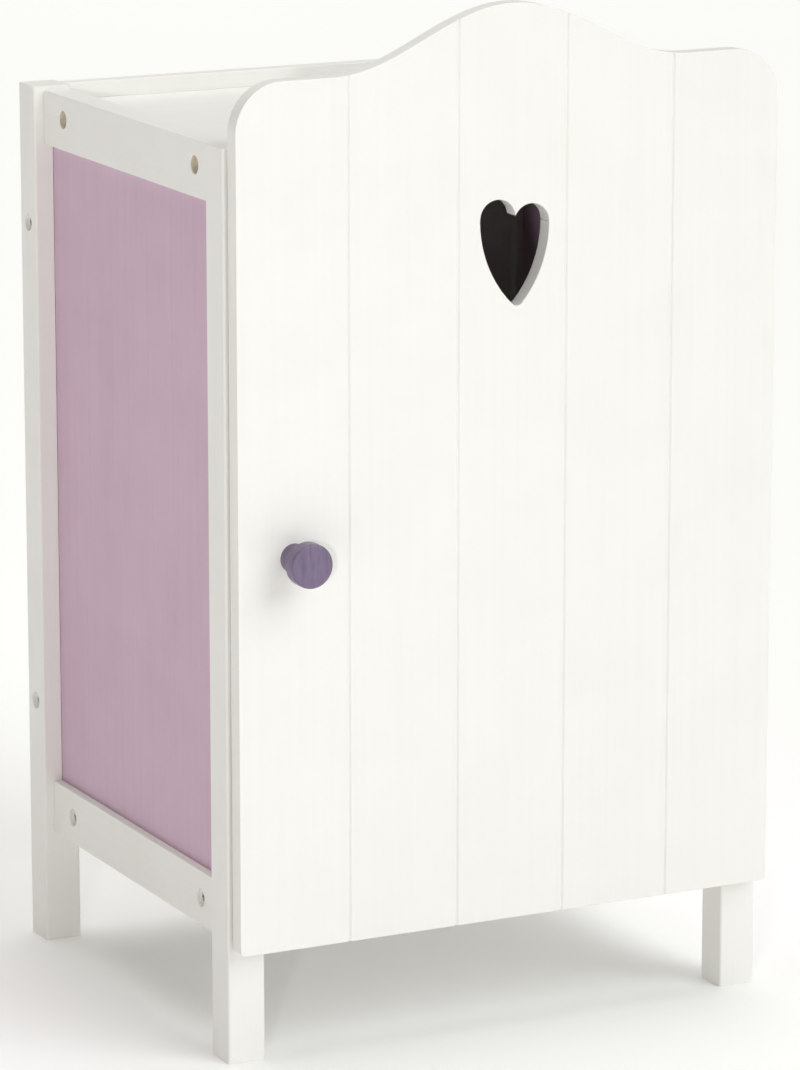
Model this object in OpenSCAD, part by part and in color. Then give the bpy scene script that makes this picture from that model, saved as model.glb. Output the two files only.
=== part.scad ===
// Miniature wardrobe for dolls' clothes: a post-and-rail cabinet with one hinged door.
// Millimetres, Z up. The door faces -Y and hangs on its right-hand (+X) edge.
// Cabinet coordinates: X = 0 midway between the posts, Y = 0 on the front faces of the
// front posts, Z = 0 on the floor. in_place() moves them to the model's origin.

/* [Frame] */
// Width over the posts
frame_w = 330; // [310:1:350]
// Depth over the posts
frame_d = 276; // [260:1:300]
// Height of the posts
post_h = 503.5; // [500:0.5:510]
// Thickness of the square posts
post_t = 22; // [20:0.5:24]

/* [Side rails] */
// Thickness of the rails
rail_t = 16; // [15:0.5:17]
// Height of the rails
rail_h = 31; // [29:0.5:33]
// Drop of the upper rails below the post tops
upper_rail_drop = 2; // [0:0.5:4]
// Height of the lower rails above the floor
lower_rail_z = 65.5; // [55:0.5:80]
// Radius of the rails' corners, seen from the side
rail_corner_r = 2; // [0.5:0.5:3]
// Diameter of the dowels that join rails and posts
dowel_d = 6; // [5:0.5:6]

/* [Panels and boards] */
// Thickness of the side panels
side_panel_t = 5; // [4:0.5:6]
// Inset of the side panels behind the rails' outer faces
side_panel_inset = 5.5; // [5:0.5:6]
// Depth of the grooves that hold the side panels
groove_depth = 4; // [3:0.5:4]
// Gap between the side panels and the outer walls of their grooves
groove_gap = 0.2; // [0:0.1:0.8]
// Thickness of the top and bottom boards
board_t = 12; // [11:0.5:13]
// Depth of the tray above the top board
tray_depth = 9.5; // [7:0.5:11]
// Thickness of the back panel
back_panel_t = 9; // [8:0.5:12]

/* [Door] */
// Thickness of the door
door_t = 10.4; // [9:0.1:12]
// Gap between the door and the posts
door_gap = 1.6; // [1.6:0.1:2]
// Inset of the door's free edge from the left post's side
door_inset_left = 2.1; // [0:0.1:4]
// Inset of the door's hinge edge from the right post's side
door_inset_right = 0.2; // [0.2:0.1:1]
// Height of the door's lower edge above the floor
door_bottom_z = 64; // [60:0.5:70]
// Height of the door's shoulders
shoulder_z = 539; // [535:0.5:545]
// Rise of the crown above the shoulders
crown_rise = 33.4; // [20:0.1:45]
// Half the width of the crown's wave
crown_half_w = 107; // [90:1:120]
// Radius of the shoulders' corners
shoulder_r = 27; // [15:1:35]
// Radius of the door's lower corners
foot_r = 3; // [1:0.5:6]
// Number of planks that the grooves mark
plank_count = 5; // [3:1:7]
// Width of the V grooves
vee_w = 2; // [1:0.1:3]
// Depth of the V grooves
vee_depth = 1.3; // [0.5:0.1:2]

/* [Heart] */
// Height of the centres of the heart's lobes
heart_z = 454.4; // [440:0.1:460]
// Sideways shift of the heart from the door's centre
heart_shift = 1.3; // [-3:0.1:3]
// Half the width of the heart
heart_half_w = 20.9; // [18:0.1:24]
// Radius of the lobes
lobe_r = 10.7; // [10:0.1:11.5]
// Radius of the convex sides below the lobes
heart_side_r = 65; // [55:1:75]
// Radius of the lower tip
heart_tip_r = 4; // [2:0.5:5]
// Lean of the heart in degrees, which lifts its left lobe and moves its tip to the right
heart_lean = 2.2; // [0:0.1:3]

/* [Knob] */
// Diameter of the knob's head
knob_d = 24.4; // [20:0.1:30]
// Diameter of the knob's foot on the door
knob_foot_d = 16; // [13:0.1:18]
// How far the knob stands out from the door
knob_l = 24; // [20:0.5:26]
// Height of the knob above the floor
knob_z = 282.5; // [250:0.5:320]

/* [Hinges] */
// Height of each hinge
hinge_h = 30; // [24:1:36]
// Distance of the hinges from the door's ends
hinge_end_dist = 55; // [45:1:70]
// Width of the leaves' flat plates
leaf_w = 17; // [15:0.5:18]
// Thickness of the leaves
leaf_t = 0.7; // [0.5:0.1:0.7]
// Outer radius of the knuckles
knuckle_r = 2; // [1.8:0.1:2]
// Radius of the hinge pins
hinge_pin_r = 1; // [0.8:0.1:1.1]
// Running clearance round the pins in the door's knuckles
pin_clearance = 0.05; // [0.02:0.01:0.1]

/* [Clothes rail] */
// Diameter of the clothes rail
clothes_rail_d = 12; // [8:0.5:14]
// Height of the clothes rail's centre
clothes_rail_z = 455; // [450:1:460]
// Thickness of the rail's brackets
bracket_t = 12; // [10:0.5:14]
// Width of the rail's brackets
bracket_w = 28; // [26:1:34]

/* [Fasteners] */
// Diameter of the counterbores
counterbore_d = 10; // [9:0.5:10]
// Depth of the counterbores in the upper rails
upper_counterbore = 8; // [6:0.5:9]
// Depth of the counterbores in the lower rails and the rear posts
shallow_counterbore = 3; // [2.5:0.5:4]
// Distance of the rail screws from the post faces, front and rear
rail_screw_inset = 49; // [40:1:60]
// Diameter of the door catch's magnet
magnet_d = 8; // [6:0.5:10]

/* [Hidden] */
$fn = 64;
eps = 0.01;

left = -1;
right = 1;
white_paint = [0.95, 0.94, 0.92];
lilac_paint = [0.71, 0.60, 0.67];
knob_paint = [0.51, 0.46, 0.57];
bare_wood = [0.80, 0.66, 0.47];
steel = [0.72, 0.72, 0.74];
brass_plate = [0.78, 0.64, 0.36];

// Frame
side_x = frame_w / 2;
inner_x = side_x - post_t;
rail_outer_x = inner_x + rail_t;
rail_mid_x = inner_x + rail_t / 2;
rail_l = frame_d - 2 * post_t;
upper_rail_z = post_h - upper_rail_drop - rail_h;
arris_r = 1.5;

// Side panels and their grooves
panel_outer_x = rail_outer_x - side_panel_inset;
panel_z0 = lower_rail_z + rail_h - groove_depth;
panel_z1 = upper_rail_z + groove_depth;
groove_play = 0.5;

// Boards and back panel
top_board_z = post_h - tray_depth - board_t;
bottom_board_z = lower_rail_z + (rail_h - board_t) / 2;
back_mid_y = frame_d - post_t / 2;
back_front_y = back_mid_y - back_panel_t / 2;

// Dowels, two at each rail end
dowel_l = 24;
dowel_offset = 7;

// Wood screws
screw_r = 2;
screw_head_r = 4;
screw_head_t = 2.4;
screw_dome = 0.9;
screw_end_x = inner_x - 23;
screw_point = 3;
recess_w = 1;
recess_l = 4.4;
recess_depth = 1.6;
upper_screw_z = top_board_z + board_t / 2;
lower_screw_z = bottom_board_z + board_t / 2;
front_screw_y = rail_screw_inset;
rear_screw_y = frame_d - rail_screw_inset;
back_screw_rises = [77.5, 359];
back_screw_z = [for (rise = back_screw_rises) lower_rail_z + rise];

// Door, with its back face one gap in front of the posts
door_x0 = -side_x + door_inset_left;
door_x1 = side_x - door_inset_right;
door_w = door_x1 - door_x0;
door_mid_x = (door_x0 + door_x1) / 2;
door_back_y = -door_gap;
door_front_y = door_back_y - door_t;
crown_steps = 48;
corner_steps = 10;
plank_w = door_w / plank_count;
knob_x = door_x0 + plank_w / 2;
heart_x = door_mid_x + heart_shift;

// Hinges: the axis is half way across the gap, just outside the post
axis_clearance = 0.2;
hinge_x = side_x + knuckle_r + axis_clearance;
hinge_y = -door_gap / 2;
knuckle_gap = 0.3;
knuckle_h = (hinge_h - 2 * knuckle_gap) / 3;
leaf_x1 = side_x - axis_clearance;
hinge_screw_x = leaf_x1 - leaf_w * 0.55;
hinge_screw_offset = hinge_h * 0.3;
hinge_screw_r = 1.1;
hinge_head_r = 2;
pin_head_t = 0.8;
pin_head_r = 1.6 * hinge_pin_r;
frame_screw_l = 12;
door_screw_l = 7.5;
upper_hinge_drop = 25;
upper_hinge_z = shoulder_z - hinge_end_dist - upper_hinge_drop - hinge_h;
lower_hinge_z = door_bottom_z + hinge_end_dist;

// Clothes rail
clothes_rail_y = frame_d / 2;
clothes_rail_bite = 9;
bracket_screw_r = 1.5;
bracket_head_t = 1.6;
bracket_head_r = 3;
bracket_head_face_r = 2.1;
bracket_screw_drop = 4;
bracket_screw_z = top_board_z - bracket_screw_drop;
bracket_screw_dy = 8;
bracket_screw_bite = 12;

// Door catch, level with the knob
catch_x = -side_x + post_t / 2;
magnet_t = 5;
strike_r = 6;
strike_t = 1.2;
strike_screw_l = 7;
strike_head_r = 2.6;

// Knob
knob_flare_l = knob_l * 0.64;
knob_flare_power = 3.2;
knob_hollow = 1;
knob_rim_r = 1.8;
knob_face_rise = 0.4;
knob_steps = 16;

// Knob screw, driven from the back of the door
knob_screw_l = 22;
knob_head_t = 2;

// The model's origin is at the bottom centre of its box
box_x0 = -side_x;
box_x1 = hinge_x + knuckle_r;
box_y0 = door_front_y - knob_l;
box_y1 = frame_d;

module in_place() {
    translate([-(box_x0 + box_x1) / 2, -(box_y0 + box_y1) / 2, 0]) children();
}

// A box given by its lowest and highest corners
module block(low, high) {
    translate(low) cube(high - low);
}

// A cylinder from a start point along an axis, "x", "y" or "z"; a negative length runs back
module rod(start, axis, length, r1, r2 = undef) {
    top_r = is_undef(r2) ? r1 : r2;
    turn = axis == "x" ? [0, 90, 0] : axis == "y" ? [-90, 0, 0] : [0, 0, 0];
    translate(start) rotate(turn)
        if (length < 0) mirror([0, 0, 1]) cylinder(h = -length, r1 = r1, r2 = top_r);
        else cylinder(h = length, r1 = r1, r2 = top_r);
}

// Both the front and the rear position of a pair along a rail
module front_and_rear() {
    for (y = [front_screw_y, rear_screw_y]) translate([0, y, 0]) children();
}

// Half of a screw's outline as [radius, distance from its point]: point, shank and
// countersunk head with its rim at l, under a dome
function screw_profile(l, dome) = concat(
    [[0, 0], [0.3, 0], [screw_r, screw_point], [screw_r, l - screw_head_t], [screw_head_r, l]],
    dome == 0 ? [] : [for (a = [22.5:22.5:67.5]) [screw_head_r * cos(a), l + dome * sin(a)]],
    [[0, l + dome]]
);

// A screw through the side of the frame. It is drawn for the right-hand side, pointing to -X,
// with the rim of its head sunk below outer_x by sink.
module side_screw_body(outer_x, sink, dome) {
    translate([screw_end_x, 0, 0]) rotate([0, 90, 0]) rotate_extrude()
        polygon(screw_profile(outer_x - sink - screw_end_x, dome));
}

// The same screw with a domed head and a cross recess
module side_screw(outer_x, sink) {
    difference() {
        side_screw_body(outer_x, sink, screw_dome);
        for (turn = [0, 90]) translate([outer_x - sink + screw_dome, 0, 0]) rotate([turn, 0, 0])
            cube([2 * recess_depth, recess_l, recess_w], center = true);
    }
}

// The hole that side_screw fits, with its counterbore out through the face
module side_screw_hole(outer_x, sink) {
    rod([outer_x - sink, 0, 0], "x", sink + 1, counterbore_d / 2);
    side_screw_body(outer_x, sink, 0);
}

// Puts a piece that is drawn for the right-hand side on the given side of the cabinet
module on_side(side) {
    mirror([side == left ? 1 : 0, 0, 0]) children();
}

module upper_screw_holes() {
    front_and_rear() translate([0, 0, upper_screw_z]) side_screw_hole(rail_outer_x, upper_counterbore);
}

module lower_screw_holes() {
    front_and_rear() translate([0, 0, lower_screw_z]) side_screw_hole(rail_outer_x, shallow_counterbore);
}

module back_screw_holes() {
    for (z = back_screw_z) translate([0, back_mid_y, z]) side_screw_hole(side_x, shallow_counterbore);
}

// All the dowels of one side, from the posts into the rail ends
module side_dowels() {
    for (rail_z = [lower_rail_z, upper_rail_z], dz = [-dowel_offset, dowel_offset]) {
        for (y = [post_t, frame_d - post_t]) {
            rod([rail_mid_x, y - dowel_l / 2, rail_z + rail_h / 2 + dz], "y", dowel_l, dowel_d / 2);
        }
    }
}

// The groove round a side panel, with play for the wood to move
module side_panel_groove() {
    block([panel_outer_x - side_panel_t, post_t - groove_depth - groove_play, panel_z0 - groove_play],
        [panel_outer_x + groove_gap, frame_d - post_t + groove_depth + groove_play,
            panel_z1 + groove_play]);
}

// A square post with eased vertical edges, for the right-hand side
module post(y0) {
    translate([inner_x, y0, 0]) linear_extrude(post_h) difference() {
        square(post_t);
        for (x = [0, post_t], y = [0, post_t]) translate([x, y]) corner_cut(x > 0, y > 0);
    }
}

// The corner that is taken off a square edge to round it
module corner_cut(flip_x, flip_y) {
    mirror([0, flip_y ? 1 : 0]) mirror([flip_x ? 1 : 0, 0]) difference() {
        translate([-eps, -eps]) square(arris_r + eps);
        translate([arris_r, arris_r]) circle(r = arris_r);
    }
}

// A rectangle from the origin with rounded corners, as exact arcs
module rounded_rectangle(w, h, r) {
    translate([r, 0]) square([w - 2 * r, h]);
    translate([0, r]) square([w, h - 2 * r]);
    for (x = [r, w - r], y = [r, h - r]) translate([x, y]) circle(r = r);
}

module side_rail(z0) {
    difference() {
        translate([inner_x, post_t, z0]) rotate([90, 0, 90])
            linear_extrude(rail_t) rounded_rectangle(rail_l, rail_h, rail_corner_r);
        side_panel_groove();
        side_dowels();
    }
}

module upper_rail(side) {
    color(white_paint) in_place() on_side(side) difference() {
        side_rail(upper_rail_z);
        upper_screw_holes();
        bracket_screw_shanks();
    }
}

module lower_rail(side) {
    color(white_paint) in_place() on_side(side) difference() {
        side_rail(lower_rail_z);
        lower_screw_holes();
    }
}

module front_left_post() {
    color(white_paint) in_place() difference() {
        on_side(left) {
            difference() {
                post(0);
                side_panel_groove();
                side_dowels();
            }
        }
        magnet_solid();
    }
}

module front_right_post() {
    color(white_paint) in_place() difference() {
        post(0);
        side_panel_groove();
        side_dowels();
        for (z0 = [lower_hinge_z, upper_hinge_z]) translate([0, 0, z0]) frame_leaf_screws();
    }
}

module rear_post(side) {
    color(white_paint) in_place() on_side(side) difference() {
        post(frame_d - post_t);
        side_panel_groove();
        side_dowels();
        back_screw_holes();
    }
}

module rear_left_post() {
    rear_post(left);
}

module rear_right_post() {
    rear_post(right);
}

module upper_left_rail() {
    upper_rail(left);
}

module upper_right_rail() {
    upper_rail(right);
}

module lower_left_rail() {
    lower_rail(left);
}

module lower_right_rail() {
    lower_rail(right);
}

module side_panel(side) {
    color(lilac_paint) in_place() on_side(side)
        block([panel_outer_x - side_panel_t, post_t - groove_depth, panel_z0],
            [panel_outer_x, frame_d - post_t + groove_depth, panel_z1]);
}

module left_side_panel() {
    side_panel(left);
}

module right_side_panel() {
    side_panel(right);
}

module top_board() {
    color(white_paint) in_place() difference() {
        block([-inner_x, 0, top_board_z], [inner_x, back_front_y, top_board_z + board_t]);
        for (side = [left, right]) on_side(side) upper_screw_holes();
    }
}

module bottom_board() {
    color(white_paint) in_place() difference() {
        block([-inner_x, 0, bottom_board_z], [inner_x, back_front_y, bottom_board_z + board_t]);
        for (side = [left, right]) on_side(side) lower_screw_holes();
    }
}

module back_panel() {
    color(white_paint) in_place() difference() {
        block([-inner_x, back_front_y, lower_rail_z], [inner_x, back_front_y + back_panel_t, post_h]);
        for (side = [left, right]) on_side(side) back_screw_holes();
    }
}

module rail_dowels() {
    color(bare_wood) in_place() for (side = [left, right]) on_side(side) side_dowels();
}

module upper_rail_screws() {
    color(steel) in_place() for (side = [left, right]) on_side(side) front_and_rear()
        translate([0, 0, upper_screw_z]) side_screw(rail_outer_x, upper_counterbore);
}

module lower_rail_screws() {
    color(steel) in_place() for (side = [left, right]) on_side(side) front_and_rear()
        translate([0, 0, lower_screw_z]) side_screw(rail_outer_x, shallow_counterbore);
}

module back_panel_screws() {
    color(steel) in_place() for (side = [left, right], z = back_screw_z) on_side(side)
        translate([0, back_mid_y, z]) side_screw(side_x, shallow_counterbore);
}

// The clothes rail ends inside a blind hole in each bracket
module clothes_rail() {
    half_l = inner_x - bracket_t + clothes_rail_bite;
    color(bare_wood) in_place()
        rod([-half_l, clothes_rail_y, clothes_rail_z], "x", 2 * half_l, clothes_rail_d / 2);
}

module bracket_screw_shanks() {
    for (dy = [-bracket_screw_dy, bracket_screw_dy]) {
        rod([inner_x - bracket_t - eps, clothes_rail_y + dy, bracket_screw_z], "x",
            bracket_t + bracket_screw_bite, bracket_screw_r);
    }
}

module rail_bracket(side) {
    half_w = bracket_w / 2;
    color(white_paint) in_place() on_side(side) difference() {
        union() {
            block([inner_x - bracket_t, clothes_rail_y - half_w, clothes_rail_z],
                [inner_x, clothes_rail_y + half_w, top_board_z]);
            rod([inner_x - bracket_t, clothes_rail_y, clothes_rail_z], "x", bracket_t, half_w);
        }
        rod([inner_x - bracket_t - 1, clothes_rail_y, clothes_rail_z], "x",
            clothes_rail_bite + 1, clothes_rail_d / 2);
        bracket_screw_shanks();
    }
}

module left_rail_bracket() {
    rail_bracket(left);
}

module right_rail_bracket() {
    rail_bracket(right);
}

module rail_bracket_screws() {
    color(steel) in_place() for (side = [left, right]) on_side(side) {
        bracket_screw_shanks();
        for (dy = [-bracket_screw_dy, bracket_screw_dy]) {
            rod([inner_x - bracket_t, clothes_rail_y + dy, bracket_screw_z], "x",
                -bracket_head_t, bracket_head_r, bracket_head_face_r);
        }
    }
}

// The flat part of a hinge leaf between y0 and y0 + leaf_t, with tabs out to its knuckles.
// slots are the knuckles that this leaf owns, counted from the bottom.
module hinge_leaf(y0, slots, bore_r) {
    plate_x0 = leaf_x1 - leaf_w;
    difference() {
        union() {
            block([plate_x0, y0, 0], [leaf_x1, y0 + leaf_t, hinge_h]);
            for (i = slots) translate([0, 0, i * (knuckle_h + knuckle_gap)]) {
                block([leaf_x1 - eps, y0, 0], [hinge_x, y0 + leaf_t, knuckle_h]);
                translate([hinge_x, hinge_y, 0]) cylinder(h = knuckle_h, r = knuckle_r);
            }
        }
        translate([hinge_x, hinge_y, -1]) cylinder(h = hinge_h + 2, r = bore_r);
    }
}

// Countersunk screws into the post, from the leaf's front face; drawn from z = 0
module frame_leaf_screws() {
    for (dz = [-hinge_screw_offset, hinge_screw_offset]) translate([0, 0, hinge_h / 2 + dz]) {
        rod([hinge_screw_x, -leaf_t, 0], "y", leaf_t, hinge_head_r, hinge_screw_r);
        rod([hinge_screw_x, -eps, 0], "y", frame_screw_l, hinge_screw_r);
    }
}

// Countersunk screws into the door, from the leaf's rear face; drawn from z = 0
module door_leaf_screws() {
    for (dz = [-hinge_screw_offset, hinge_screw_offset]) translate([0, 0, hinge_h / 2 + dz]) {
        rod([hinge_screw_x, door_back_y + leaf_t, 0], "y", -leaf_t, hinge_head_r, hinge_screw_r);
        rod([hinge_screw_x, door_back_y + eps, 0], "y", -door_screw_l, hinge_screw_r);
    }
}

module frame_leaf(z0) {
    color(brass_plate) in_place() translate([0, 0, z0]) difference() {
        hinge_leaf(-leaf_t, [0, 2], hinge_pin_r);
        frame_leaf_screws();
    }
}

module door_leaf(z0) {
    color(brass_plate) in_place() translate([0, 0, z0]) difference() {
        hinge_leaf(door_back_y, [1], hinge_pin_r + pin_clearance);
        door_leaf_screws();
    }
}

module upper_hinge_frame_leaf() {
    frame_leaf(upper_hinge_z);
}

module lower_hinge_frame_leaf() {
    frame_leaf(lower_hinge_z);
}

module upper_hinge_door_leaf() {
    door_leaf(upper_hinge_z);
}

module lower_hinge_door_leaf() {
    door_leaf(lower_hinge_z);
}

// A pin with a small head above and below the knuckles
module hinge_pin(z0) {
    color(steel) in_place() translate([hinge_x, hinge_y, z0]) {
        translate([0, 0, -pin_head_t / 2]) cylinder(h = hinge_h + pin_head_t, r = hinge_pin_r);
        for (z = [-pin_head_t, hinge_h]) translate([0, 0, z]) cylinder(h = pin_head_t, r = pin_head_r);
    }
}

module upper_hinge_pin() {
    hinge_pin(upper_hinge_z);
}

module lower_hinge_pin() {
    hinge_pin(lower_hinge_z);
}

module hinge_frame_screws() {
    color(brass_plate) in_place()
        for (z0 = [lower_hinge_z, upper_hinge_z]) translate([0, 0, z0]) frame_leaf_screws();
}

module hinge_door_screws() {
    color(brass_plate) in_place()
        for (z0 = [lower_hinge_z, upper_hinge_z]) translate([0, 0, z0]) door_leaf_screws();
}

module magnet_solid() {
    rod([catch_x, 0, knob_z], "y", magnet_t, magnet_d / 2);
}

module catch_magnet() {
    color(steel) in_place() magnet_solid();
}

// Height of the door's upper edge at x from its centre, before the corners are rounded
function crown_z(x) =
    abs(x) >= crown_half_w ? shoulder_z
    : shoulder_z + crown_rise * (1 + cos(180 * x / crown_half_w)) / 2;

// A quarter turn clockwise about a centre, as points
function corner_points(cx, cz, r, start) = [
    for (i = [0:corner_steps]) let (a = start - 90 * i / corner_steps) [cx + r * cos(a), cz + r * sin(a)]
];

// The door's outline about its centre line: crown, right shoulder, foot, left shoulder
module door_outline() {
    half_w = door_w / 2;
    top_cx = half_w - shoulder_r;
    top_cz = shoulder_z - shoulder_r;
    foot_cx = half_w - foot_r;
    foot_cz = door_bottom_z + foot_r;
    crown = [
        for (i = [0:crown_steps]) let (x = crown_half_w * (2 * i / crown_steps - 1)) [x, crown_z(x)]
    ];
    polygon(concat(crown, corner_points(top_cx, top_cz, shoulder_r, 90),
        corner_points(foot_cx, foot_cz, foot_r, 0), corner_points(-foot_cx, foot_cz, foot_r, -90),
        corner_points(-top_cx, top_cz, shoulder_r, 180)));
}

// The heart about the middle between its lobes: two round lobes on convex sides, which lean
// together. The lobes' centres are level with those of the sides that they run into.
module heart_outline() {
    lens_x = heart_side_r - heart_half_w;
    lobe_x = heart_half_w - lobe_r;
    lobe_rise = lens_x * sin(heart_lean);
    cut_rise = heart_side_r * sin(heart_lean);
    tip_y = -sqrt(pow(heart_side_r - heart_tip_r, 2) - lens_x * lens_x);
    tip_cut_y = tip_y * heart_side_r / (heart_side_r - heart_tip_r);
    for (side = [left, right]) translate([side * lobe_x, -side * lobe_rise]) circle(r = lobe_r);
    rotate(heart_lean) {
        intersection() {
            translate([-lens_x, 0]) circle(r = heart_side_r, $fn = 180);
            translate([lens_x, 0]) circle(r = heart_side_r, $fn = 180);
            polygon([[-heart_half_w, tip_cut_y], [heart_half_w, tip_cut_y],
                [heart_half_w, -cut_rise], [-heart_half_w, cut_rise]]);
        }
        translate([0, tip_y]) circle(r = heart_tip_r);
    }
}

// Stands a flat outline up in the door's plane, from the back face forwards
module through_door(extra) {
    translate([0, door_back_y + extra, 0]) rotate([90, 0, 0])
        linear_extrude(door_t + 2 * extra) children();
}

// A V groove down the whole front of the door
module vee_groove(x) {
    translate([x, door_front_y, door_bottom_z - 1]) linear_extrude(shoulder_z + crown_rise)
        polygon([[-vee_w / 2, -eps], [vee_w / 2, -eps], [0, vee_depth]]);
}

module door_panel() {
    color(white_paint) in_place() difference() {
        through_door(0) translate([door_mid_x, 0]) door_outline();
        through_door(1) translate([heart_x, heart_z]) heart_outline();
        for (i = [1:plank_count - 1]) vee_groove(door_x0 + i * plank_w);
        for (z0 = [lower_hinge_z, upper_hinge_z]) translate([0, 0, z0]) door_leaf_screws();
        knob_screw_solid();
        strike_screw_solid();
    }
}

// The knob's profile as [radius, distance from the door]: a hollowed neck that flares out to
// the head, a rounded rim and a slightly domed face
function knob_profile() = let (
    neck_r = knob_foot_d / 2,
    head_r = knob_d / 2,
    rim_l = knob_l - knob_face_rise
) concat(
    [[0, 0], [neck_r, 0]],
    [for (i = [1:knob_steps]) let (t = i / knob_steps)
        [neck_r + (head_r - neck_r) * pow(t, knob_flare_power) - knob_hollow * sin(180 * t),
            knob_flare_l * t]],
    [for (a = [0:15:90])
        [head_r - knob_rim_r + knob_rim_r * cos(a), rim_l - knob_rim_r + knob_rim_r * sin(a)]],
    [[0, knob_l]]
);

module door_knob() {
    color(knob_paint) in_place() difference() {
        translate([knob_x, door_front_y, knob_z]) rotate([90, 0, 0])
            rotate_extrude($fn = 96) polygon(knob_profile());
        knob_screw_solid();
    }
}

// A screw from the back of the door into the knob, its head sunk in the door
module knob_screw_solid() {
    rod([knob_x, door_back_y, knob_z], "y", -knob_head_t, screw_head_r, screw_r);
    rod([knob_x, door_back_y, knob_z], "y", -knob_screw_l, screw_r);
}

module knob_screw() {
    color(steel) in_place() knob_screw_solid();
}

module strike_plate() {
    color(steel) in_place() difference() {
        rod([catch_x, door_back_y, knob_z], "y", strike_t, strike_r);
        strike_screw_solid();
    }
}

module strike_screw_solid() {
    rod([catch_x, door_back_y + strike_t, knob_z], "y", -strike_t, strike_head_r, hinge_screw_r);
    rod([catch_x, door_back_y + eps, knob_z], "y", -strike_screw_l, hinge_screw_r);
}

module strike_screw() {
    color(steel) in_place() strike_screw_solid();
}

front_left_post();
front_right_post();
rear_left_post();
rear_right_post();
upper_left_rail();
upper_right_rail();
lower_left_rail();
lower_right_rail();
left_side_panel();
right_side_panel();
top_board();
bottom_board();
back_panel();
rail_dowels();
upper_rail_screws();
lower_rail_screws();
back_panel_screws();
clothes_rail();
left_rail_bracket();
right_rail_bracket();
rail_bracket_screws();
upper_hinge_frame_leaf();
lower_hinge_frame_leaf();
upper_hinge_pin();
lower_hinge_pin();
hinge_frame_screws();
catch_magnet();
door_panel();
door_knob();
knob_screw();
upper_hinge_door_leaf();
lower_hinge_door_leaf();
hinge_door_screws();
strike_plate();
strike_screw();
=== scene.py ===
"""Looks for the miniature wardrobe: white painted frame and door, lilac panels, violet wooden knob.

Metres, in the CAD model's frame: +Z up, the door faces -Y, the hinges are on the +X side.
"""

import math

import bpy
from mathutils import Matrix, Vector


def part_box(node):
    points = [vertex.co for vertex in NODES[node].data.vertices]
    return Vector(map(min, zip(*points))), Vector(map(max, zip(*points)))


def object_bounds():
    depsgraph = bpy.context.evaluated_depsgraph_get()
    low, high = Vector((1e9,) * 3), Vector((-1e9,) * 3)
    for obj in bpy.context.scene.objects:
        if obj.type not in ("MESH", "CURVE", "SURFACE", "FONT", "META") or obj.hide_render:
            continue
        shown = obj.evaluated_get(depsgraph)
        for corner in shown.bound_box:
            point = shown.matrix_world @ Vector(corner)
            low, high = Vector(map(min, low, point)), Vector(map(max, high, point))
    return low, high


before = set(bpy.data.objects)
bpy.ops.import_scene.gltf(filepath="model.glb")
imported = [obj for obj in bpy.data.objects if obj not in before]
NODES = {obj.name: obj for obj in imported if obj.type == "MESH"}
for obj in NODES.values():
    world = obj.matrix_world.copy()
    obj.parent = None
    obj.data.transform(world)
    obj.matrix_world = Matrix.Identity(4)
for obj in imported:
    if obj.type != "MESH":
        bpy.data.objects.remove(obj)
CAD_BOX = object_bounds()

MM = 0.001
TOP_Z = CAD_BOX[1][2]
MIDDLE_Z = TOP_Z / 2

# ---------------------------------------------------------------- camera

VIEW_AZIMUTH = math.radians(-26.63)
VIEW_ELEVATION = math.radians(13.02)
VIEW_DISTANCE = 3.0365
VIEW_LENS_MM = 180.3
VIEW_SENSOR_MM = 36
VIEW_CLIP_END = 60
VIEW_AIM = Vector((-3.3 * MM, -1.1 * MM, 0.445 * TOP_Z))


def add_camera():
    """A long lens, to the left of the door and a little above it."""
    data = bpy.data.cameras.new("camera")
    data.lens = VIEW_LENS_MM
    data.sensor_width = VIEW_SENSOR_MM
    data.clip_end = VIEW_CLIP_END
    camera = bpy.data.objects.new("camera", data)
    bpy.context.scene.collection.objects.link(camera)
    level = math.cos(VIEW_ELEVATION)
    back = Vector((
        math.sin(VIEW_AZIMUTH) * level,
        -math.cos(VIEW_AZIMUTH) * level,
        math.sin(VIEW_ELEVATION),
    ))
    camera.location = VIEW_AIM + VIEW_DISTANCE * back
    camera.rotation_euler = (-back).to_track_quat("-Z", "Y").to_euler()
    bpy.context.scene.camera = camera


add_camera()

# ---------------------------------------------------------------- shader helpers


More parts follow.
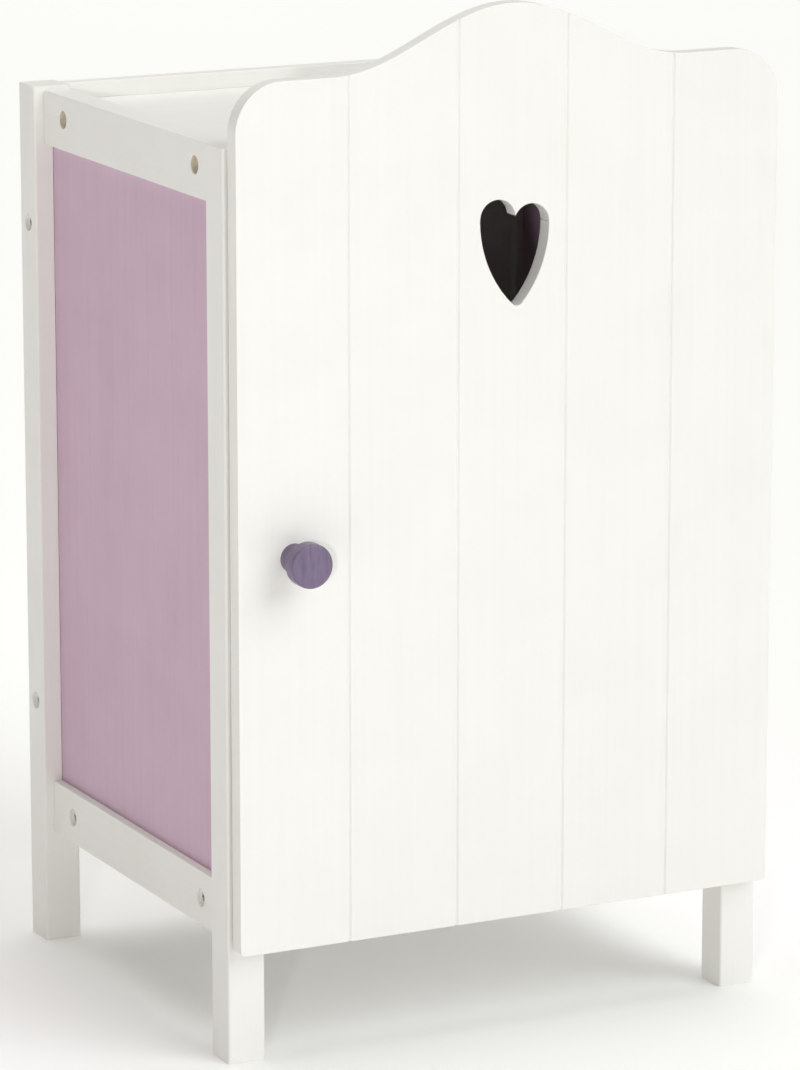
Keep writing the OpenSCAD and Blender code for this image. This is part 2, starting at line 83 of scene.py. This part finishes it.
class Shader:
    """A material's node tree, with short calls for the nodes that the finishes share."""

    def __init__(self, name):
        self.material = bpy.data.materials.new(name)
        self.material.use_nodes = True
        self.tree = self.material.node_tree
        self.surface = self.tree.nodes["Principled BSDF"]

    def add(self, kind, **settings):
        made = self.tree.nodes.new(kind)
        for key, value in settings.items():
            setattr(made, key, value)
        return made

    def link(self, source, target):
        self.tree.links.new(source, target)

    def set(self, **values):
        """Plain values on the surface shader's own sockets."""
        for key, value in values.items():
            self.surface.inputs[key.replace("_", " ")].default_value = value

    def place(self):
        """The piece's own coordinates in metres, which move with it."""
        return self.add("ShaderNodeTexCoord").outputs["Object"]

    def stretched(self, scale):
        """The same coordinates, scaled along each axis."""
        mapping = self.add("ShaderNodeMapping")
        mapping.inputs["Scale"].default_value = scale
        self.link(self.place(), mapping.inputs["Vector"])
        return mapping.outputs["Vector"]

    def noise(self, vector, scale, detail=3.0, roughness=0.5, distortion=0.0):
        made = self.add("ShaderNodeTexNoise")
        made.inputs["Scale"].default_value = scale
        made.inputs["Detail"].default_value = detail
        made.inputs["Roughness"].default_value = roughness
        made.inputs["Distortion"].default_value = distortion
        self.link(vector, made.inputs["Vector"])
        return made.outputs["Fac"]

    def math(self, operation, first, second=None):
        """One arithmetic step on sockets or plain numbers."""
        made = self.add("ShaderNodeMath", operation=operation)
        for socket, value in zip(made.inputs, (first, second)):
            if value is None:
                continue
            if isinstance(value, (int, float)):
                socket.default_value = value
            else:
                self.link(value, socket)
        return made.outputs["Value"]

    def remap(self, value, low, high, to_low, to_high):
        """A straight line from (low, to_low) to (high, to_high), level beyond its ends."""
        made = self.add("ShaderNodeMapRange")
        self.link(value, made.inputs["Value"])
        ends = {"From Min": low, "From Max": high, "To Min": to_low, "To Max": to_high}
        for key, number in ends.items():
            made.inputs[key].default_value = number
        return made.outputs["Result"]

    def ramp(self, value, *stops):
        """A colour ramp; each stop is (position, linear RGB)."""
        made = self.add("ShaderNodeValToRGB")
        elements = made.color_ramp.elements
        for _ in stops[2:]:
            elements.new(0.5)
        for element, (position, colour) in zip(elements, stops):
            element.position = position
            element.color = (*colour, 1.0)
        self.link(value, made.inputs["Fac"])
        return made.outputs["Color"]

    def mix(self, factor, first, second):
        """Two colours, the second a socket or plain linear RGB, mixed by the socket factor."""
        made = self.add("ShaderNodeMix", data_type="RGBA")
        by_identifier = {socket.identifier: socket for socket in made.inputs}
        self.link(factor, by_identifier["Factor_Float"])
        self.link(first, by_identifier["A_Color"])
        if isinstance(second, tuple):
            by_identifier["B_Color"].default_value = (*second, 1.0)
        else:
            self.link(second, by_identifier["B_Color"])
        return next(socket for socket in made.outputs if socket.identifier == "Result_Color")

    def bump(self, height, distance, strength=1.0, under=None):
        made = self.add("ShaderNodeBump")
        made.inputs["Strength"].default_value = strength
        made.inputs["Distance"].default_value = distance
        self.link(height, made.inputs["Height"])
        if under is not None:
            self.link(under, made.inputs["Normal"])
        return made.outputs["Normal"]

    def finish(self, colour, roughness, normal):
        self.link(colour, self.surface.inputs["Base Color"])
        self.link(roughness, self.surface.inputs["Roughness"])
        self.link(normal, self.surface.inputs["Normal"])
        return self.material


def along(axis, run, across):
    """Scale factors for streaks that run along one axis."""
    return tuple(run if i == "xyz".index(axis) else across for i in range(3))


# ---------------------------------------------------------------- finishes

WHITE = (0.875, 0.868, 0.842)
WHITE_DULL = (0.850, 0.840, 0.808)
LILAC = (0.640, 0.462, 0.585)
LILAC_DULL = (0.605, 0.425, 0.540)
VIOLET = (0.172, 0.130, 0.222)
VIOLET_DARK = (0.128, 0.100, 0.172)
VIOLET_PALE = (0.215, 0.168, 0.262)
PALE_WOOD = (0.800, 0.735, 0.620)
PALE_WOOD_DARK = (0.640, 0.560, 0.450)
BEECH_PALE = (0.660, 0.480, 0.290)
BEECH = (0.560, 0.385, 0.215)
BEECH_DARK = (0.400, 0.250, 0.120)
ZINC, ZINC_DARK = (0.66, 0.66, 0.67), (0.45, 0.45, 0.46)
BRASS, BRASS_DARK = (0.70, 0.52, 0.26), (0.61, 0.44, 0.21)
NICKEL, NICKEL_DARK = (0.62, 0.60, 0.57), (0.48, 0.46, 0.43)
FLOOR_PALE, FLOOR_DULL = (0.92, 0.92, 0.915), (0.90, 0.90, 0.895)

# Noise scales are in cycles per metre
MOTTLE_SCALE = 22.0
PEEL_SCALE = 700.0
PEEL_HEIGHT = 0.03 * MM
PAINT_IOR = 1.5


def paint_shader(name, axis, pale, dull, gloss, grain):
    """Satin paint: faint mottle, brush streaks along the grain, and grain that shows through.

    Returns the shader with the sockets of its colour, roughness and normal.
    """
    s = Shader(name)
    mottle = s.noise(s.place(), MOTTLE_SCALE, detail=4.0, roughness=0.6)
    streak = s.noise(s.stretched(along(axis, 6.0, 420.0)), 1.0, detail=3.0, roughness=0.55)
    pores = s.noise(s.stretched(along(axis, 40.0, 900.0)), 1.0, detail=2.0)
    tone = s.math("ADD", s.math("MULTIPLY", mottle, 0.6), s.math("MULTIPLY", streak, 0.4))
    colour = s.ramp(tone, (0.32, dull), (0.62, pale))
    roughness = s.remap(tone, 0.3, 0.7, gloss + 0.06, gloss - 0.04)
    peel = s.noise(s.place(), PEEL_SCALE, detail=2.0)
    normal = s.bump(peel, PEEL_HEIGHT, strength=0.35)
    normal = s.bump(streak, grain, strength=0.5, under=normal)
    normal = s.bump(pores, grain * 0.4, strength=0.3, under=normal)
    s.set(IOR=PAINT_IOR)
    return s, colour, roughness, normal


def brushed_paint(name, axis, pale, dull, gloss, grain):
    s, colour, roughness, normal = paint_shader(name, axis, pale, dull, gloss, grain)
    return s.finish(colour, roughness, normal)


def holed_paint(name, axis, gloss, grain, holes, face_x):
    """White paint, with bare wood inside the counterbores that are drilled in along X.

    holes are the (y, z) of their axes, and face_x is how far from the cabinet's middle the paint
    begins.
    """
    s, paint, roughness, normal = paint_shader(name, axis, WHITE, WHITE_DULL, gloss, grain)
    split = s.add("ShaderNodeSeparateXYZ")
    s.link(s.place(), split.inputs["Vector"])
    inside = 0.0
    for y, z in holes:
        dy = s.math("SUBTRACT", split.outputs["Y"], y)
        dz = s.math("SUBTRACT", split.outputs["Z"], z)
        square = s.math("ADD", s.math("MULTIPLY", dy, dy), s.math("MULTIPLY", dz, dz))
        inside = s.math("MAXIMUM", inside, s.math("LESS_THAN", square, HOLE_R ** 2))
    from_middle = s.math("ABSOLUTE", s.math("ADD", split.outputs["X"], CABINET_MID))
    deep = s.math("LESS_THAN", from_middle, face_x)
    fibre = s.noise(s.stretched((300.0, 60.0, 500.0)), 1.0, detail=4.0)
    wood = s.ramp(fibre, (0.3, PALE_WOOD_DARK), (0.7, PALE_WOOD))
    colour = s.mix(s.math("MULTIPLY", inside, deep), paint, wood)
    return s.finish(colour, roughness, normal)


def stained_wood():
    """The knob: violet stain that sank in unevenly along the grain, which runs up the face."""
    s = Shader("violet_stain")
    grain = s.stretched(along("z", 70.0, 620.0))
    fibre = s.noise(grain, 1.0, detail=5.0, roughness=0.6, distortion=0.4)
    cloud = s.noise(s.place(), 95.0, detail=3.0)
    tone = s.math("ADD", s.math("MULTIPLY", fibre, 0.6), s.math("MULTIPLY", cloud, 0.4))
    colour = s.ramp(tone, (0.32, VIOLET_DARK), (0.5, VIOLET), (0.72, VIOLET_PALE))
    roughness = s.remap(fibre, 0.3, 0.7, 0.42, 0.30)
    normal = s.bump(fibre, 0.06 * MM, strength=0.5)
    s.set(IOR=PAINT_IOR)
    return s.finish(colour, roughness, normal)


def bare_wood(name, axis):
    """Beech: pale, with fine darker flecks along the grain."""
    s = Shader(name)
    grain = s.stretched(along(axis, 12.0, 480.0))
    fibre = s.noise(grain, 1.0, detail=5.0, roughness=0.6, distortion=0.3)
    fleck = s.noise(s.stretched(along(axis, 90.0, 1300.0)), 1.0, detail=2.0)
    colour = s.ramp(fibre, (0.3, BEECH_DARK), (0.55, BEECH), (0.8, BEECH_PALE))
    colour = s.mix(s.remap(fleck, 0.58, 0.7, 0.0, 0.5), colour, BEECH_DARK)
    roughness = s.remap(fibre, 0.3, 0.7, 0.62, 0.5)
    return s.finish(colour, roughness, s.bump(fibre, 0.05 * MM, strength=0.5))


def metal(name, colour, dark, roughness, scratch_axis):
    """Bright metal with fine scratches and a little uneven tarnish."""
    s = Shader(name)
    scratch = s.noise(s.stretched(along(scratch_axis, 60.0, 2600.0)), 1.0, detail=2.0)
    cloud = s.noise(s.place(), 240.0, detail=4.0)
    shade = s.ramp(cloud, (0.3, dark), (0.65, colour))
    rough = s.remap(scratch, 0.3, 0.7, roughness - 0.06, roughness + 0.1)
    s.set(Metallic=1.0)
    return s.finish(shade, rough, s.bump(scratch, 0.01 * MM, strength=0.3))


# ---------------------------------------------------------------- CAD nodes

WELD_DISTANCE = 0.005 * MM
FLAT_ANGLE = math.radians(0.5)
BEVEL_ANGLE = math.radians(30)
SMOOTH_ANGLE = math.radians(35)
BEVEL_SEGMENTS = 3


def smooth_group():
    """A geometry group that shades smooth, with edges over SMOOTH_ANGLE kept sharp."""
    group = bpy.data.node_groups.new("shade_by_angle", "GeometryNodeTree")
    group.interface.new_socket("Geometry", in_out="INPUT", socket_type="NodeSocketGeometry")
    group.interface.new_socket("Geometry", in_out="OUTPUT", socket_type="NodeSocketGeometry")
    start = group.nodes.new("NodeGroupInput")
    end = group.nodes.new("NodeGroupOutput")
    faces = group.nodes.new("GeometryNodeSetShadeSmooth")
    edges = group.nodes.new("GeometryNodeSetShadeSmooth")
    edges.domain = "EDGE"
    edges.inputs["Shade Smooth"].default_value = False
    angle = group.nodes.new("GeometryNodeInputMeshEdgeAngle")
    over = group.nodes.new("FunctionNodeCompare")
    over.data_type = "FLOAT"
    over.operation = "GREATER_THAN"
    over.inputs["B"].default_value = SMOOTH_ANGLE
    group.links.new(start.outputs[0], faces.inputs["Geometry"])
    group.links.new(faces.outputs["Geometry"], edges.inputs["Geometry"])
    group.links.new(angle.outputs["Unsigned Angle"], over.inputs["A"])
    group.links.new(over.outputs["Result"], edges.inputs["Selection"])
    group.links.new(edges.outputs["Geometry"], end.inputs[0])
    return group


SHADE_GROUP = smooth_group()


def ease_edges(obj, width):
    """Joins the split CAD corners and rounds the sharp edges over.

    Flat faces are made whole first, because a bevel on their thin triangles leaves dark creases.
    The bevel's loop slide is off, because it leaves fine cracks that start at the holes.
    """
    weld = obj.modifiers.new("weld", "WELD")
    weld.merge_threshold = WELD_DISTANCE
    if width:
        flat = obj.modifiers.new("whole_faces", "DECIMATE")
        flat.decimate_type = "DISSOLVE"
        flat.angle_limit = FLAT_ANGLE
        bevel = obj.modifiers.new("eased_edges", "BEVEL")
        bevel.width = width
        bevel.segments = BEVEL_SEGMENTS
        bevel.limit_method = "ANGLE"
        bevel.angle_limit = BEVEL_ANGLE
        bevel.use_clamp_overlap = False
        bevel.loop_slide = False
    shade = obj.modifiers.new("shade", "NODES")
    shade.node_group = SHADE_GROUP
    normals = obj.modifiers.new("normals", "WEIGHTED_NORMAL")
    normals.keep_sharp = True


def dress(names, material, width=0.0):
    """Gives CAD nodes a material and eased edges."""
    for name in names:
        obj = NODES[name]
        obj.data.materials.clear()
        obj.data.materials.append(material)
        ease_edges(obj, width)


# The screws of one side are told apart by cells of this size, and a cell that holds a screw has
# more vertices than this
SCREW_CELL = 30 * MM
SCREW_POINTS = 40


def counterbores(screws, side):
    """(y, z) of the axes of one side's screws, from the vertices of the screws' node."""
    cells = {}
    for vertex in NODES[screws].data.vertices:
        p = vertex.co
        if p.x * side > 0:
            cells.setdefault((round(p.y / SCREW_CELL), round(p.z / SCREW_CELL)), []).append(p)
    return [
        (sum(p.y for p in points) / len(points), sum(p.z for p in points) / len(points))
        for points in cells.values() if len(points) > SCREW_POINTS
    ]


# The cabinet's middle lies a little to -X of the model's origin, because of the knuckles
CABINET_MID = -(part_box("front_left_post")[0].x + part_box("front_right_post")[1].x) / 2
# A little wider than the counterbores, to reach their walls and the eased rim
HOLE_R = 5.08 * MM
# The bare wood starts this far inside the rail's outer face
PAINT_DEPTH = 0.5 * MM
RAIL_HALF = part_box("upper_right_rail")[1].x + CABINET_MID

upright_paint = brushed_paint("white_upright", "z", WHITE, WHITE_DULL, 0.40, 0.05 * MM)
board_paint = brushed_paint("white_board", "x", WHITE, WHITE_DULL, 0.45, 0.03 * MM)
door_paint = brushed_paint("white_door", "z", WHITE, WHITE_DULL, 0.36, 0.03 * MM)
side_paint = brushed_paint("lilac_panel", "z", LILAC, LILAC_DULL, 0.55, 0.04 * MM)
rail_paint = brushed_paint("white_rail", "y", WHITE, WHITE_DULL, 0.42, 0.05 * MM)
upper_rail_paint = holed_paint("white_upper_rail", "y", 0.42, 0.05 * MM,
    counterbores("upper_rail_screws", 1), RAIL_HALF - PAINT_DEPTH)
zinc = metal("zinc_plate", ZINC, ZINC_DARK, 0.30, "y")
brass = metal("satin_brass", BRASS, BRASS_DARK, 0.32, "z")
nickel = metal("nickel_plate", NICKEL, NICKEL_DARK, 0.18, "z")

dress(["front_left_post", "front_right_post", "rear_left_post", "rear_right_post"],
    upright_paint, 0.2 * MM)
dress(["upper_left_rail", "upper_right_rail"], upper_rail_paint, 0.6 * MM)
dress(["lower_left_rail", "lower_right_rail"], rail_paint, 0.6 * MM)
dress(["top_board", "bottom_board", "back_panel"], board_paint, 0.5 * MM)
dress(["left_rail_bracket", "right_rail_bracket"], upright_paint, 0.8 * MM)
dress(["door_panel"], door_paint, 0.5 * MM)
dress(["left_side_panel", "right_side_panel"], side_paint, 0.4 * MM)
dress(["door_knob"], stained_wood())
dress(["rail_dowels"], bare_wood("beech_dowels", "y"), 0.3 * MM)
dress(["clothes_rail"], bare_wood("beech_rail", "x"), 0.5 * MM)
dress(["upper_rail_screws", "lower_rail_screws", "back_panel_screws", "rail_bracket_screws",
    "knob_screw", "strike_screw", "upper_hinge_pin", "lower_hinge_pin", "strike_plate"], zinc)
dress(["upper_hinge_frame_leaf", "lower_hinge_frame_leaf", "upper_hinge_door_leaf",
    "lower_hinge_door_leaf", "hinge_frame_screws", "hinge_door_screws"], brass)
dress(["catch_magnet"], nickel)

# ---------------------------------------------------------------- stage and light


FLOOR_HALF = 14.0
FLOOR_GLOW = 0.08
LAMP_DISTANCE = 4
FLASH_DISTANCE = 3
WORLD_COLOUR = (1.0, 0.960, 0.860, 1.0)
WORLD_STRENGTH = 0.28


def add_floor():
    """A plain pale floor that reaches past the view and glows a little, to stay near white."""
    half = FLOOR_HALF
    corners = [(-half, -half, 0), (half, -half, 0), (half, half, 0), (-half, half, 0)]
    mesh = bpy.data.meshes.new("floor")
    mesh.from_pydata(corners, [], [(0, 1, 2, 3)])
    floor = bpy.data.objects.new("floor", mesh)
    bpy.context.scene.collection.objects.link(floor)
    s = Shader("floor")
    tone = s.noise(s.place(), 0.8, detail=2.0)
    s.link(s.ramp(tone, (0.3, FLOOR_DULL), (0.7, FLOOR_PALE)), s.surface.inputs["Base Color"])
    s.set(Roughness=0.9, Specular_IOR_Level=0.1)
    s.set(Emission_Color=(1.0, 1.0, 1.0, 1.0), Emission_Strength=FLOOR_GLOW)
    mesh.materials.append(s.material)


def from_side(azimuth, elevation, distance):
    a, e = math.radians(azimuth), math.radians(elevation)
    return (
        distance * math.sin(a) * math.cos(e),
        -distance * math.cos(a) * math.cos(e),
        MIDDLE_Z + distance * math.sin(e),
    )


def add_lamp(name, kind, source, energy, colour):
    """A light at source, aimed at the middle of the wardrobe."""
    data = bpy.data.lights.new(name, kind)
    data.energy = energy
    data.color = colour
    lamp = bpy.data.objects.new(name, data)
    bpy.context.scene.collection.objects.link(lamp)
    lamp.location = source
    aim = Vector((0, 0, MIDDLE_Z))
    lamp.rotation_euler = (aim - Vector(source)).to_track_quat("-Z", "Y").to_euler()
    return data


def add_lights():
    """A broad key from the upper right, a broad top light, a small flash left of the camera,
    and a faint glow inside the wardrobe, so that the heart does not open on pure black.
    """
    key = add_lamp("key", "SUN", from_side(30, 38, LAMP_DISTANCE), 1.35, (0.94, 0.98, 1.0))
    key.angle = math.radians(44)
    top = add_lamp("top", "SUN", from_side(160, 74, LAMP_DISTANCE), 1.50, (1.0, 1.0, 1.0))
    top.angle = math.radians(60)
    flash_place = from_side(-32.2, 9.6, FLASH_DISTANCE)
    flash = add_lamp("flash", "POINT", flash_place, 59.5, (1.0, 0.99, 0.965))
    flash.shadow_soft_size = 0.05
    inside = add_lamp("inside", "POINT", (-0.06, 0.085, 0.41), 0.009, (0.95, 1.0, 0.86))
    inside.shadow_soft_size = 0.03


def add_world():
    world = bpy.data.worlds.new("studio")
    world.use_nodes = True
    background = world.node_tree.nodes["Background"]
    background.inputs["Color"].default_value = WORLD_COLOUR
    background.inputs["Strength"].default_value = WORLD_STRENGTH
    bpy.context.scene.world = world


add_floor()
add_world()
add_lights()
bpy.context.scene.view_settings.view_transform = "Standard"
